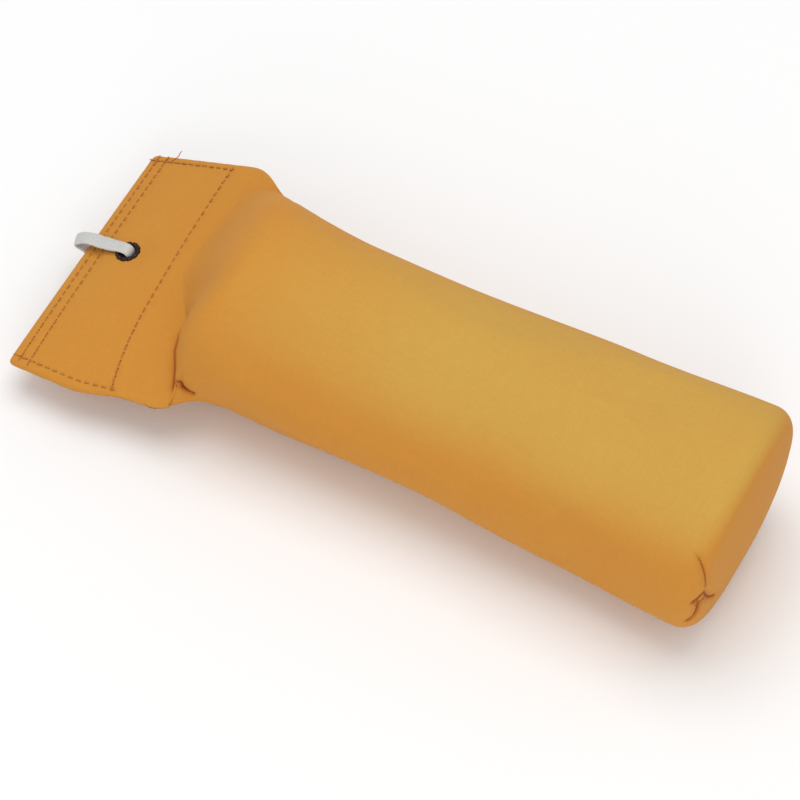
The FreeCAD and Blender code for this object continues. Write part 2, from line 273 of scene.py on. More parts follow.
def capRows(angle):
    # rounding at the rim and the base, ring by ring to the middle
    rimStart = bagLength - bag["rim"]
    y1, z1 = bagPoint(np.full(angle.shape, rimStart), angle)
    b = bag["halfWidths"][-1]
    centre = b * bag["height"] - bag["restFlat"]
    middle = bag["sideways"][-1]
    rows = []
    for i in range(1, bag["rimRows"] + 1):
        phi = math.pi / 2 * i / bag["rimRows"]
        shrink = 1 - bag["rim"] * (1 - math.cos(phi)) / b
        s = np.full(angle.shape, rimStart + bag["rim"] * math.sin(phi))
        rows.append(np.stack([s, middle + (y1 - middle) * shrink, centre + (z1 - centre) * shrink], -1))
    inner = 1 - bag["rim"] / b
    for i in range(1, bag["baseRings"] + 1):
        r = 1 - i / bag["baseRings"]
        s = np.full(angle.shape, bagLength + bag["dome"] * (1 - r * r))
        share = inner * r
        rows.append(np.stack([s, middle + (y1 - middle) * share, centre + (z1 - centre) * share], -1))
    return np.array(rows)


def leanBase(grid):
    b = bag["halfWidths"][-1] * bag["height"]
    ramp = smooth((grid[..., 0] - 150.0) / 100.0)
    grid[..., 0] += bag["lean"] * ramp * (grid[..., 2] - b) / b
    return grid


def coverGrid():
    upper, upperAngle = faceRows(True)
    lower, lowerAngle = faceRows(False)
    # one ring of columns: over the top from the near edge, back underneath from the far edge
    grid = np.concatenate([upper, lower[:, ::-1][:, 1:-1]], 1)
    angle = np.concatenate([upperAngle, lowerAngle[::-1][1:-1]])
    grid = np.concatenate([grid, capRows(angle)], 0)
    grid = leanBase(grid)
    grid[..., 2] = np.maximum(grid[..., 2], 0.0)
    return grid, len(upper)


def gridNormals(grid):
    along = np.gradient(grid, axis=0)
    around = np.roll(grid, -1, 1) - np.roll(grid, 1, 1)
    normal = np.cross(along, around)
    size = np.linalg.norm(normal, axis=-1, keepdims=True)
    return normal / np.maximum(size, 1e-9)


def toLine(points, line, normals):
    # distance from each point to a line of straight runs, which side it lies on, and how far along
    best = np.full(points.shape[:-1], 1e9)
    side = np.zeros(points.shape[:-1])
    share = np.zeros(points.shape[:-1])
    line = np.array(line, float)
    lengths = np.linalg.norm(np.diff(line, axis=0), axis=1)
    before = np.append(0.0, np.cumsum(lengths))
    for n in range(len(line) - 1):
        a, run = line[n], line[n + 1] - line[n]
        t = np.clip(((points - a) @ run) / (run @ run), 0.0, 1.0)
        gap = points - (a + t[..., None] * run)
        d = np.linalg.norm(gap, axis=-1)
        nearer = d < best
        best = np.where(nearer, d, best)
        side = np.where(nearer, (gap * np.cross(run, normals)).sum(-1), side)
        share = np.where(nearer, before[n] + t * lengths[n], share)
    return best, np.sign(side), share, before[-1]


stitching = {
    "pitch": 3.05, "length": 2.35, "width": 0.62, "rise": 0.34,
    "hemRows": [3.8, 7.6],
    "sideInset": 3.3,
    "crossAt": 36.6, "crossTurn": -0.04,     # the row that closes the box, and how far it runs out of square
    "nearBend": 4.5,
    "grooveDepth": 0.22, "grooveWidth": 0.75,
    "pucker": 0.1,
}
nearSide = -half + header["middle"]
farSide = half + header["middle"]


def crossRow(y):
    bend = np.clip((-y - 15.0) / 35.0, 0, None)
    return stitching["crossAt"] + stitching["crossTurn"] * y + stitching["nearBend"] * bend ** 2


def hemRow(y, inset):
    return -header["skew"] * y / half + inset


def stitchRows():
    # rows of stitches as points (s, y) on the header
    inset = stitching["sideInset"]
    across = np.linspace(nearSide + 2.2, farSide - 1.6, 40)
    rows = {}
    for n, depth in enumerate(stitching["hemRows"]):
        rows["hemThread%d" % (n + 1)] = [(hemRow(y, depth), y) for y in across]
    inner = np.linspace(nearSide + inset + 2.2, farSide - inset, 40)
    rows["crossThread"] = [(float(crossRow(y)), y) for y in inner]
    for name, y in (("nearThread", nearSide + inset), ("farThread", farSide - inset)):
        start = hemRow(y, stitching["hemRows"][0] - 2.2)
        drawnIn = half - header["middle"] if y < 0 else 0.0
        run = np.linspace(start, float(crossRow(y)), 20)
        rows[name] = [(s, y + 0.6 * max(drawnIn - float(nearEdge(s)), 0.0)) for s in run]
    return rows


rowLines = stitchRows()


def pressRows(grid, openRows):
    # groove under each row of stitches, with small puckers beside it
    depth = np.zeros(grid.shape[:2])
    region = grid[:openRows]
    onHeader = region[..., 0] < 50.0
    s, y = region[..., 0], region[..., 1]
    for line in rowLines.values():
        line = np.array(line)
        best = np.full(s.shape, 1e9)
        for a, b in zip(line[:-1], line[1:]):
            run = b - a
            t = np.clip(((s - a[0]) * run[0] + (y - a[1]) * run[1]) / (run @ run), 0, 1)
            best = np.minimum(best, np.hypot(s - a[0] - t * run[0], y - a[1] - t * run[1]))
        groove = stitching["grooveDepth"] * np.exp(-(best / stitching["grooveWidth"]) ** 2)
        wave = np.sin((s + y) * 2 * math.pi / (2 * stitching["pitch"])) * np.exp(-(best / 2.6) ** 2)
        depth[:openRows] = np.maximum(depth[:openRows], np.where(onHeader, groove, 0.0))
        depth[:openRows] += np.where(onHeader, stitching["pucker"] * wave, 0.0)
    return depth


# Creases: each runs through points on the cover (s, y, z) and tapers off at both ends; its strength is how
# dark the painted shade along it is
creases = {
    "nearArc": {"line": [(52.4, -15.5, 30.5), (54.3, -22.3, 28.5), (55.5, -25.9, 27.4), (58.7, -31.1, 26.2),
                         (61.0, -35.7, 24.9), (62.8, -39.9, 23.5)],
                "depth": 0.5, "width": 0.5, "start": 9.0, "end": 3.0, "strength": 0.66},
    "nearGap": {"line": [(63.3, -37.2, 28.5), (67.4, -38.2, 26.4), (71.1, -37.3, 24.3)],
                "depth": 1.2, "width": 0.85, "start": 2.0, "end": 1.0, "strength": 1.0},
    "baseCrease": {"line": [(256.3, -33.8, 59.8), (259.9, -34.6, 55.8), (261.7, -34.4, 50.9),
                            (262.3, -32.8, 41.0), (262.2, -33.9, 39.9)],
                   "depth": 0.8, "width": 0.42, "start": 5.0, "end": 0.5, "strength": 0.7},
    "baseGap": {"line": [(262.2, -33.9, 39.9), (261.0, -37.0, 37.1), (259.7, -38.7, 36.1)],
                "depth": 1.6, "width": 1.15, "start": 0.8, "end": 1.2, "strength": 1.0},
    "baseTuck": {"line": [(262.0, -34.6, 36.4), (261.6, -35.0, 32.8), (261.0, -35.3, 27.3),
                          (258.2, -37.5, 22.6)],
                 "depth": 1.5, "width": 1.0, "start": 1.5, "end": 1.6, "strength": 1.0},
    "baseBranch": {"line": [(262.2, -33.9, 39.9), (262.2, -30.9, 33.2), (262.3, -28.2, 28.6),
                            (262.3, -22.3, 22.0)],
                   "depth": 0.9, "width": 0.6, "start": 0.8, "end": 3.0, "strength": 0.9},
    "lengthSeam": {"line": [(70.0, 1.0, 0.3), (160.0, 1.0, 0.0), (256.0, 0.0, 0.3)],
                   "depth": 0.7, "width": 0.5, "start": 6.0, "end": 6.0, "strength": 0.6},
}


def foldCover(grid, normals):
    # pull the creases in; also how strong each crease's painted shade is and how far to its side each point
    # lies
    move = np.zeros(grid.shape[:2])
    strength = np.zeros(grid.shape[:2])
    sideways = np.full(grid.shape[:2], 9.0)
    nearest = np.full(grid.shape[:2], 1e9)
    for crease in creases.values():
        d, side, share, length = toLine(grid, crease["line"], normals)
        taper = smooth(share / crease["start"]) * smooth((length - share) / crease["end"])
        move -= crease["depth"] * taper * np.exp(-(d / 1.1) ** 2)
        closer = d / crease["width"] < nearest
        nearest = np.where(closer, d / crease["width"], nearest)
        sideways = np.where(closer, side * d / crease["width"], sideways)
        reach = 1.0 - smooth((d - 2.0) / 2.0)
        strength = np.where(closer, crease["strength"] * taper * reach, strength)
    return move, strength, np.clip(sideways, -9.0, 9.0)


cloth = {
    "everyRow": 5, "everyColumn": 4,         # the copy that is simulated is this much coarser
    "pressure": 0.25, "mass": 0.3,
    "grow": 0.003,           # the cloth's spare length
    "frames": 20,
    "cap": 0.8,              # no point moves further than this
    "stretch": 30.0, "shear": 12.0, "bend": 0.4,
}


def simulateCover(grid):
    # drape a coarse copy of the cover as stuffed cloth, and return how far each point moved
    rows = np.arange(0, len(grid) - 2, cloth["everyRow"])     # stops short of the pole of the base
    columns = np.arange(0, grid.shape[1], cloth["everyColumn"])
    coarse = grid[np.ix_(rows, columns)]
    sheet = meshFromGrid("clothStart", coarse)
    body = bpy.data.objects.new("clothStart", sheet)
    bpy.context.scene.collection.objects.link(body)
    s = coarse[..., 0]
    z = coarse[..., 2]
    held = np.maximum(1.0 - smooth((s - 47.0) / 12.0), smooth((s - (bagLength - 9.0)) / 5.0))
    held = np.maximum(held, np.where(z < 1.5, 1.0, 0.0)).ravel()
    group = body.vertex_groups.new(name="held")
    for index, weight in enumerate(held):
        group.add([index], float(weight), "REPLACE")
    modifier = body.modifiers.new("cloth", "CLOTH")
    settings = modifier.settings
    settings.quality = 6
    settings.mass = cloth["mass"]
    settings.use_pressure = True
    settings.uniform_pressure_force = cloth["pressure"]
    settings.tension_stiffness = cloth["stretch"]
    settings.compression_stiffness = cloth["stretch"]
    settings.shear_stiffness = cloth["shear"]
    settings.bending_stiffness = cloth["bend"]
    settings.shrink_min = -cloth["grow"]
    settings.vertex_group_mass = "held"
    settings.pin_stiffness = 1.0
    settings.effector_weights.gravity = 0.0
    modifier.collision_settings.use_collision = False
    modifier.collision_settings.use_self_collision = False
    modifier.point_cache.frame_start = 1
    modifier.point_cache.frame_end = cloth["frames"] + 5
    for step in range(1, cloth["frames"] + 1):
        bpy.context.scene.frame_set(step)
    shaped = body.evaluated_get(bpy.context.evaluated_depsgraph_get())
    moved = np.array([tuple(v.co) for v in shaped.data.vertices]).reshape(coarse.shape) / mm
    moved[..., 0] -= hemX
    bpy.context.scene.frame_set(1)
    bpy.data.objects.remove(body)
    shift = moved - coarse
    size = np.linalg.norm(shift, axis=-1, keepdims=True)
    print("cloth moved up to", round(float(size.max()), 2), "mm")
    shift *= np.minimum(1.0, cloth["cap"] / np.maximum(size, 1e-6))
    # back on to the fine grid
    out = np.empty(grid.shape)
    full = np.concatenate([shift, shift[:, :1]], 1)
    place = np.append(columns, grid.shape[1])
    byRow = np.empty((len(rows), grid.shape[1], 3))
    for n in range(3):
        for i in range(len(rows)):
            byRow[i, :, n] = np.interp(np.arange(grid.shape[1]), place, full[i, :, n])
        for j in range(grid.shape[1]):
            out[:, j, n] = np.interp(np.arange(len(grid)), rows, byRow[:, j, n])
    for n in range(4):
        out = (np.roll(out, 1, 1) + np.roll(out, -1, 1) + 2 * out) / 4
        out[1:-1] = (out[:-2] + out[2:] + 2 * out[1:-1]) / 4
    return out


def meshFromGrid(name, grid):
    rows, columns = grid.shape[:2]
    points = grid.reshape(-1, 3).copy()
    points[:, 0] += hemX
    points *= mm
    i, j = np.meshgrid(np.arange(rows - 1), np.arange(columns), indexing="ij")
    k = (j + 1) % columns
    faces = np.stack([i * columns + j, (i + 1) * columns + j, (i + 1) * columns + k, i * columns + k], -1)
    made = bpy.data.meshes.new(name)
    made.from_pydata(points.tolist(), [], faces.reshape(-1, 4).tolist())
    made.update()
    return made


def layCloth(mesh, grid, openRows):
    # unrolled position of each face corner in millimetres, for the weave
    rows, columns = grid.shape[:2]
    alongMid = np.linalg.norm(np.diff(grid, axis=0), axis=-1).mean(1)
    along = np.append(0.0, np.cumsum(alongMid))
    around = np.append(distance, faceLength + distance[1:-1])
    around = np.append(around, 2 * faceLength)
    i, j = np.meshgrid(np.arange(rows - 1), np.arange(columns), indexing="ij")
    after = (j + 1) % columns
    corners = [(i, j, j), (i + 1, j, j), (i + 1, after, j + 1), (i, after, j + 1)]
    flat = np.empty(i.shape + (4, 2))
    inBase = i >= openRows + bag["rimRows"]
    for n, (a, b, c) in enumerate(corners):
        point = grid[a, b]
        flat[..., n, 0] = np.where(inBase, point[..., 1], along[a])
        flat[..., n, 1] = np.where(inBase, point[..., 2], around[c])
    layer = mesh.uv_layers.new(name="clothMm")
    layer.data.foreach_set("uv", flat.reshape(-1).astype(np.float32))


def setPoints(mesh, name, values):
    mesh.attributes.new(name, "FLOAT", "POINT").data.foreach_set("value", values.astype(np.float32).ravel())


def link(name, mesh, *materials):
    piece = bpy.data.objects.new(name, mesh)
    bpy.context.scene.collection.objects.link(piece)
    for material in materials:
        mesh.materials.append(material)
    mesh.shade_smooth()
    return piece


grid, openRows = coverGrid()
normals = gridNormals(grid)
shaped = grid.copy()
shaped = shaped + simulateCover(grid)
move, strength, sideways = foldCover(grid, normals)
onBag = smooth((grid[..., 0] - 50.0) / 20.0)
bumps = lumps(grid[..., 0] / 26.0, grid[..., 1] / 17.0 + grid[..., 2] / 19.0, 7) * bag["lumpHeight"]
move = move - pressRows(grid, openRows) + bumps * mix(0.35, 1.0, onBag)
shaped = shaped + normals * move[..., None]
shaped[..., 2] = np.maximum(shaped[..., 2], 0.0)
mesh = meshFromGrid("bagCover", shaped)
layCloth(mesh, grid, openRows)
# crease and creaseSide carry the painted shade along the creases
setPoints(mesh, "crease", strength)
setPoints(mesh, "creaseSide", sideways)
# painted top light: faces that look up, further along the bag, get a lighter, yellower tint
up = np.clip(normals[..., 2] * 0.9 + 0.1, 0, 1)
paintedTopLight = smooth((up - 0.35) / 0.6) * smooth((grid[..., 0] - 50.0) / 105.0)
setPoints(mesh, "paintedTopLight", paintedTopLight)
print("cover", grid.shape, len(mesh.polygons) * 2, "triangles")

# the hole that the eyelet is set in
holes = bmesh.new()
holes.from_mesh(mesh)
eyePoint = np.array([(hemX + eyeS) * mm, eyeY * mm])
inHole = [f for f in holes.faces
          if math.hypot(*(np.array(f.calc_center_median())[:2] - eyePoint)) < 3.2 * mm]
bmesh.ops.delete(holes, geom=inHole, context="FACES")
holes.to_mesh(mesh)
holes.free()


# Materials
def newMaterial(name, colour, roughness):
    material = bpy.data.materials.new(name)
    material.use_nodes = True
    shader = material.node_tree.nodes["Principled BSDF"]
    shader.inputs["Base Color"].default_value = (*colour, 1)
    shader.inputs["Roughness"].default_value = roughness
    return material, material.node_tree, shader


def sockets(group, names, output=False):
    for name, kind in names:
        group.interface.new_socket(name=name, in_out="OUTPUT" if output else "INPUT", socket_type=kind)


def mathNode(tree, operation, a, b=None, c=None):
    node = tree.nodes.new("ShaderNodeMath")
    node.operation = operation
    for n, value in enumerate((a, b, c)):
        if value is None:
            continue
        if isinstance(value, (int, float)):
            node.inputs[n].default_value = value
        else:
            tree.links.new(value, node.inputs[n])
    return node.outputs[0]


def mixColour(tree, amount, a, b, kind="MIX"):
    node = tree.nodes.new("ShaderNodeMix")
    node.data_type = "RGBA"
    node.blend_type = kind
    for name, value in (("Factor", amount), ("A", a), ("B", b)):
        socket = next(i for i in node.inputs if i.name == name and i.enabled)
        if isinstance(value, (int, float)):
            socket.default_value = value
        elif isinstance(value, tuple):
            socket.default_value = (*value, 1)
        else:
            tree.links.new(value, socket)
    return next(o for o in node.outputs if o.enabled)


def noiseNode(tree, vector, scale, detail=2.0, roughness=0.5):
    node = tree.nodes.new("ShaderNodeTexNoise")
    node.inputs["Scale"].default_value = scale
    node.inputs["Detail"].default_value = detail
    node.inputs["Roughness"].default_value = roughness
    tree.links.new(vector, node.inputs["Vector"])
    return node.outputs["Fac"]


def makeWeaveGroup():
    # plain weave: threads over and under, with slubs; Place is in millimetres
    group = bpy.data.node_groups.new("plainWeave", "ShaderNodeTree")
    sockets(group, [("Place", "NodeSocketVector"), ("Thread", "NodeSocketFloat"),
                    ("Slub", "NodeSocketFloat")])
    sockets(group, [("Height", "NodeSocketFloat"), ("Shade", "NodeSocketFloat")], True)
    given = group.nodes.new("NodeGroupInput")
    split = group.nodes.new("ShaderNodeSeparateXYZ")
    group.links.new(given.outputs["Place"], split.inputs[0])
    turn = mathNode(group, "DIVIDE", math.pi, given.outputs["Thread"])
    waves = []
    for n in range(2):
        waves.append(mathNode(group, "SINE", mathNode(group, "MULTIPLY", split.outputs[n], turn)))
    lengthwise = mathNode(group, "ABSOLUTE", waves[0])
    crosswise = mathNode(group, "ABSOLUTE", waves[1])
    over = mathNode(group, "GREATER_THAN", mathNode(group, "MULTIPLY", waves[0], waves[1]), 0.0)
    woven = mathNode(group, "ADD", mathNode(group, "MULTIPLY", lengthwise, over),
                     mathNode(group, "MULTIPLY", crosswise, mathNode(group, "SUBTRACT", 1.0, over)))
    thick = []                   # slubs run along the thread, in both directions
    for size in ((0.12, 1.4, 1.0), (1.4, 0.12, 1.0)):
        stretch = group.nodes.new("ShaderNodeMapping")
        group.links.new(given.outputs["Place"], stretch.inputs["Vector"])
        stretch.inputs["Scale"].default_value = size
        thick.append(noiseNode(group, stretch.outputs[0], 1.0))
    slubs = mathNode(group, "SUBTRACT", mathNode(group, "ADD", thick[0], thick[1]), 1.0)
    slubs = mathNode(group, "MULTIPLY", slubs, given.outputs["Slub"])
    made = group.nodes.new("NodeGroupOutput")
    group.links.new(mathNode(group, "ADD", woven, slubs), made.inputs["Height"])
    shade = mathNode(group, "ADD", mathNode(group, "MULTIPLY", woven, 0.5), slubs)
    group.links.new(shade, made.inputs["Shade"])
    return group


def makeSoilGroup():
    # patches of handling dirt and fading, about 0 to 1
    group = bpy.data.node_groups.new("handling", "ShaderNodeTree")
    sockets(group, [("Size", "NodeSocketFloat"), ("Amount", "NodeSocketFloat")])
    sockets(group, [("Patches", "NodeSocketFloat"), ("Specks", "NodeSocketFloat")], True)
    given = group.nodes.new("NodeGroupInput")
    place = group.nodes.new("ShaderNodeTexCoord")
    scale = group.nodes.new("ShaderNodeVectorMath")
    scale.operation = "SCALE"
    group.links.new(place.outputs["Object"], scale.inputs[0])
    group.links.new(given.outputs["Size"], scale.inputs["Scale"])
    patches = noiseNode(group, scale.outputs[0], 1.0, 3.0, 0.55)
    specks = noiseNode(group, scale.outputs[0], 22.0, 2.0, 0.6)
    made = group.nodes.new("NodeGroupOutput")
    strong = mathNode(group, "MULTIPLY", mathNode(group, "SUBTRACT", patches, 0.5), given.outputs["Amount"])
    group.links.new(strong, made.inputs["Patches"])
    group.links.new(mathNode(group, "SUBTRACT", specks, 0.5), made.inputs["Specks"])
    return group


weave = makeWeaveGroup()
handling = makeSoilGroup()


def useGroup(tree, group, values):
    node = tree.nodes.new("ShaderNodeGroup")
    node.node_tree = group
    for name, value in values.items():
        if isinstance(value, (int, float)):
            node.inputs[name].default_value = value
        else:
            tree.links.new(value, node.inputs[name])
    return node


def bumpFrom(tree, shader, height, strength, depth):
    bump = tree.nodes.new("ShaderNodeBump")
    bump.inputs["Strength"].default_value = strength
    bump.inputs["Distance"].default_value = depth * mm
    tree.links.new(height, bump.inputs["Height"])
    tree.links.new(bump.outputs[0], shader.inputs["Normal"])


def readPoint(tree, name):
    node = tree.nodes.new("ShaderNodeAttribute")
    node.attribute_name = name
    return node.outputs["Fac"]


canvasLook = {
    # the plain orange, then a painted light colour for the lit top, a painted dark crease shadow and a
    # painted broad shade beside the creases
    "orange": (0.62, 0.262, 0.036), "paintedLitTop": (0.60, 0.345, 0.066), "paintedCreaseShadow": (0.20, 0.035, 0.004),
    "shaded": (0.62, 0.19, 0.02),
    "thread": 0.55,          # from one thread to the next
    "slub": 0.5, "bump": 0.35,
}


def makeCanvas():
    material, tree, shader = newMaterial("canvasCloth", canvasLook["orange"], 0.86)
    flat = tree.nodes.new("ShaderNodeUVMap")
    flat.uv_map = "clothMm"
    woven = {"Place": flat.outputs[0], "Thread": canvasLook["thread"], "Slub": canvasLook["slub"]}
    cloth = useGroup(tree, weave, woven)
    wear = useGroup(tree, handling, {"Size": 22.0, "Amount": 1.0})
    # random patches plus the painted top light shift the orange toward the lighter, yellower lit-top colour
    uneven = mathNode(tree, "MULTIPLY", wear.outputs["Patches"], 0.5)
    paintedTopLight = mathNode(tree, "ADD", readPoint(tree, "paintedTopLight"), uneven)
    colour = mixColour(tree, paintedTopLight, canvasLook["orange"], canvasLook["paintedLitTop"])
    shade = mathNode(tree, "ADD", 0.93, mathNode(tree, "MULTIPLY", cloth.outputs["Shade"], 0.16))
    shade = mathNode(tree, "ADD", shade, mathNode(tree, "MULTIPLY", wear.outputs["Specks"], 0.05))
    grey = tree.nodes.new("ShaderNodeCombineColor")
    for n in range(3):
        tree.links.new(shade, grey.inputs[n])
    colour = mixColour(tree, 1.0, colour, grey.outputs[0], "MULTIPLY")
    # painted shade along the creases: a narrow dark line and a broader, more saturated band beside it
    offLine = readPoint(tree, "creaseSide")
    square = mathNode(tree, "MULTIPLY", offLine, offLine)
    inLine = mathNode(tree, "EXPONENT", mathNode(tree, "MULTIPLY", square, -1.0))
    wide = mathNode(tree, "EXPONENT", mathNode(tree, "MULTIPLY", square, -0.1))
    dark = mathNode(tree, "MULTIPLY", readPoint(tree, "crease"), inLine)
    glow = mathNode(tree, "MULTIPLY", readPoint(tree, "crease"), mathNode(tree, "MULTIPLY", wide, 0.6))
    colour = mixColour(tree, glow, colour, canvasLook["shaded"])
    colour = mixColour(tree, dark, colour, canvasLook["paintedCreaseShadow"])
    tree.links.new(colour, shader.inputs["Base Color"])
    rough = mathNode(tree, "ADD", 0.82, mathNode(tree, "MULTIPLY", cloth.outputs["Shade"], 0.12))
    tree.links.new(rough, shader.inputs["Roughness"])
    shader.inputs["Sheen Weight"].default_value = 0.05
    shader.inputs["Sheen Tint"].default_value = (1.0, 0.72, 0.4, 1)
    shader.inputs["Sheen Roughness"].default_value = 0.5
    shader.inputs["Specular IOR Level"].default_value = 0.25
    bumpFrom(tree, shader, cloth.outputs["Height"], canvasLook["bump"], 0.12)
    return material


canvas = makeCanvas()
cover = link("bagCover", mesh, canvas)
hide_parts("cover_shoulder", "cover_tube", "base_panel", "base_pleat_near", "base_pleat_far",
            "header_upper_ply", "header_lower_ply")
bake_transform(cover)


# Liner and filling, set in from the cover
inside = {"liner": 3.2, "filling": 4.6, "front": 66.0, "everyRow": 4, "everyColumn": 6}


def insetBag(name, depth):
    first = int(np.argmax(grid[:openRows, bag["acrossTop"] // 2, 0] > inside["front"]))
    rows = np.arange(first, len(grid), inside["everyRow"])
    columns = np.arange(0, grid.shape[1], inside["everyColumn"])
    rings = grid[np.ix_(rows, columns)].copy()
    middle = np.array([rings[0, :, 0].mean() + 4.0, 1.0, rings[0, :, 2].mean()])
    shapeIn = rings.copy()
    centre = rings.mean(1, keepdims=True)
    radial = rings - centre
    radial[..., 0] = 0
    size = np.linalg.norm(radial, axis=-1, keepdims=True)
    shapeIn -= radial / np.maximum(size, 1e-6) * np.minimum(depth, size)
    shapeIn[..., 0] = np.clip(shapeIn[..., 0], inside["front"] + depth, bagLength - depth)
    front = [mix(middle, shapeIn[0], share) for share in (0.02, 0.3, 0.6, 0.85)]
    return meshFromGrid(name, np.concatenate([np.array(front), shapeIn], 0))


def makeFilm():
    material, tree, shader = newMaterial("linerFilm", (0.78, 0.79, 0.76), 0.35)
    wear = useGroup(tree, handling, {"Size": 60.0, "Amount": 1.0})
    rough = mathNode(tree, "ADD", 0.32, mathNode(tree, "MULTIPLY", wear.outputs["Patches"], 0.3))
    tree.links.new(rough, shader.inputs["Roughness"])
    bumpFrom(tree, shader, wear.outputs["Patches"], 0.5, 0.6)
    return material


def makeFibre():
    material, tree, shader = newMaterial("packedFibre", (0.75, 0.70, 0.60), 0.95)
    wear = useGroup(tree, handling, {"Size": 200.0, "Amount": 1.0})
    tint = mathNode(tree, "ADD", 0.5, mathNode(tree, "MULTIPLY", wear.outputs["Specks"], 1.2))
    colour = mixColour(tree, tint, (0.62, 0.56, 0.46), (0.82, 0.78, 0.70))
    tree.links.new(colour, shader.inputs["Base Color"])
    bumpFrom(tree, shader, wear.outputs["Specks"], 0.8, 0.8)
    return material


def makeTapeFilm():
    material, tree, shader = newMaterial("brownTape", (0.55, 0.42, 0.25), 0.4)
    wear = useGroup(tree, handling, {"Size": 90.0, "Amount": 1.0})
    tint = mathNode(tree, "ADD", 0.5, wear.outputs["Patches"])
    colour = mixColour(tree, tint, (0.50, 0.37, 0.21), (0.60, 0.47, 0.29))
    tree.links.new(colour, shader.inputs["Base Color"])
    bumpFrom(tree, shader, wear.outputs["Specks"], 0.3, 0.1)
    return material


liner = link("innerLiner", insetBag("innerLiner", inside["liner"]), makeFilm())
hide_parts("inner_liner")
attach(liner, "bag")
core = link("fillingCore", insetBag("fillingCore", inside["filling"]), makeFibre())
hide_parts("filling")
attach(core, "bag")


closure = {"s": 67.2, "z": 33.0, "width": 36.0, "tall": 12.0, "thick": 0.3}


def closureTape():
    # a strip of tape stuck over the liner's gathered front
    made = bmesh.new()
    columns, rows, sides = 24, 6, []
    for depth in (-closure["thick"] / 2, closure["thick"] / 2):
        sheet = []
        for i in range(rows + 1):
            for j in range(columns + 1):
                v, u = i / rows * 2 - 1, j / columns * 2 - 1
                wrinkle = 0.18 * math.sin(5.0 * u + 2.0 * v) + 0.12 * math.sin(11.0 * u - 3.0 * v)
                s = closure["s"] + wrinkle + depth
                place = (hemX + s, 1.0 + u * closure["width"] / 2, closure["z"] + v * closure["tall"] / 2)
                sheet.append(made.verts.new(Vector(place) * mm))
        sides.append(sheet)
    step = columns + 1
    for i in range(rows):
        for j in range(columns):
            k = i * step + j
            for sheet in sides:
                made.faces.new((sheet[k], sheet[k + 1], sheet[k + 1 + step], sheet[k + step]))
    border = list(range(step)) + [i * step + columns for i in range(1, rows + 1)]
    border += [rows * step + j for j in range(columns - 1, -1, -1)]
    border += [i * step for i in range(rows - 1, 0, -1)]
    for a, b in zip(border, border[1:] + border[:1]):
        made.faces.new((sides[0][a], sides[0][b], sides[1][b], sides[1][a]))
    bmesh.ops.recalc_face_normals(made, faces=made.faces)
    mesh = bpy.data.meshes.new("closureTape")
    made.to_mesh(mesh)
    made.free()
    return mesh


stuck = link("closureTape", closureTape(), makeTapeFilm())
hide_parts("liner_closure_tape")
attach(stuck, "bag")
print("liner, filling and closure tape")


# Stitches, by geometry nodes along lines that lie on the header
def surfacePoint(s, y, side):
    # point on the header's face and the way it faces
    s, y = float(s), float(y)
    thick = header["halfThick"] - 0.04
    z = float(headerZ(np.float64(s), np.float64(y)))
    ds = float(headerZ(np.float64(s + 0.5), np.float64(y))) - z
    dy = float(headerZ(np.float64(s), np.float64(y + 0.5))) - z
    lift = Vector((-ds / 0.5, -dy / 0.5, 1.0)).normalized() * side
    return Vector(((hemX + s), y, z)) + lift * thick, lift


def lineMesh(name, points, lifts):
    made = bpy.data.meshes.new(name)
    edges = [(n, n + 1) for n in range(len(points) - 1)]
    made.from_pydata([tuple(p * mm) for p in points], edges, [])
    attribute = made.attributes.new("lift", "FLOAT_VECTOR", "POINT")
    attribute.data.foreach_set("vector", np.array([tuple(v) for v in lifts], np.float32).ravel())
    return made


